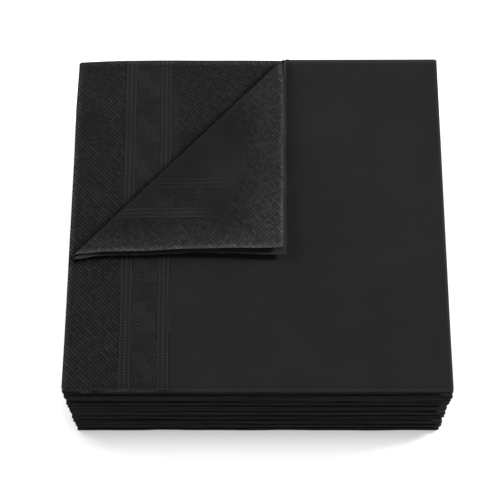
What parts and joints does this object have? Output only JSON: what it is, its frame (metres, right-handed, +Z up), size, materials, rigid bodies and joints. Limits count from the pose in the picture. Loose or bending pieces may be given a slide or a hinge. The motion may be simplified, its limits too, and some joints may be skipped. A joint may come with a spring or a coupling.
{
  "type": "stack of paper napkins",
  "caption": "Stack of square paper napkins, each folded in four, with one corner of the top napkin turned back.",
  "frame": {"origin": "middle of the underside of the lowest napkin", "axes": "+Z up through the stack; +X to the folded right edge; -Y to the folded front edge, which the picture looks at"},
  "size_m": [0.1663, 0.1612, 0.0667],
  "materials": {
    "napkin_paper": "matt embossed tissue, dyed black"
  },
  "bodies": {
    "root": {"napkin_01": "napkin_paper", "napkin_02": "napkin_paper", "napkin_03": "napkin_paper", "napkin_04": "napkin_paper", "napkin_05": "napkin_paper", "napkin_06": "napkin_paper", "napkin_07": "napkin_paper", "napkin_08": "napkin_paper", "napkin_09": "napkin_paper", "napkin_10": "napkin_paper", "napkin_11": "napkin_paper", "napkin_12": "napkin_paper", "napkin_13": "napkin_paper", "napkin_14": "napkin_paper", "napkin_15": "napkin_paper", "napkin_16": "napkin_paper", "napkin_17": "napkin_paper", "napkin_18": "napkin_paper", "napkin_19": "napkin_paper", "napkin_20": "napkin_paper", "napkin_21": "napkin_paper", "napkin_22": "napkin_paper", "napkin_23": "napkin_paper", "napkin_24": "napkin_paper", "napkin_25": "napkin_paper", "napkin_26": "napkin_paper", "napkin_27": "napkin_paper", "napkin_28": "napkin_paper", "napkin_29": "napkin_paper", "napkin_30": "napkin_paper", "napkin_31": "napkin_paper", "napkin_32": "napkin_paper", "napkin_33": "napkin_paper", "napkin_34": "napkin_paper", "napkin_35": "napkin_paper", "napkin_36": "napkin_paper", "napkin_37": "napkin_paper", "napkin_38": "napkin_paper", "napkin_39": "napkin_paper", "napkin_40": "napkin_paper"}
  },
  "joints": []
}
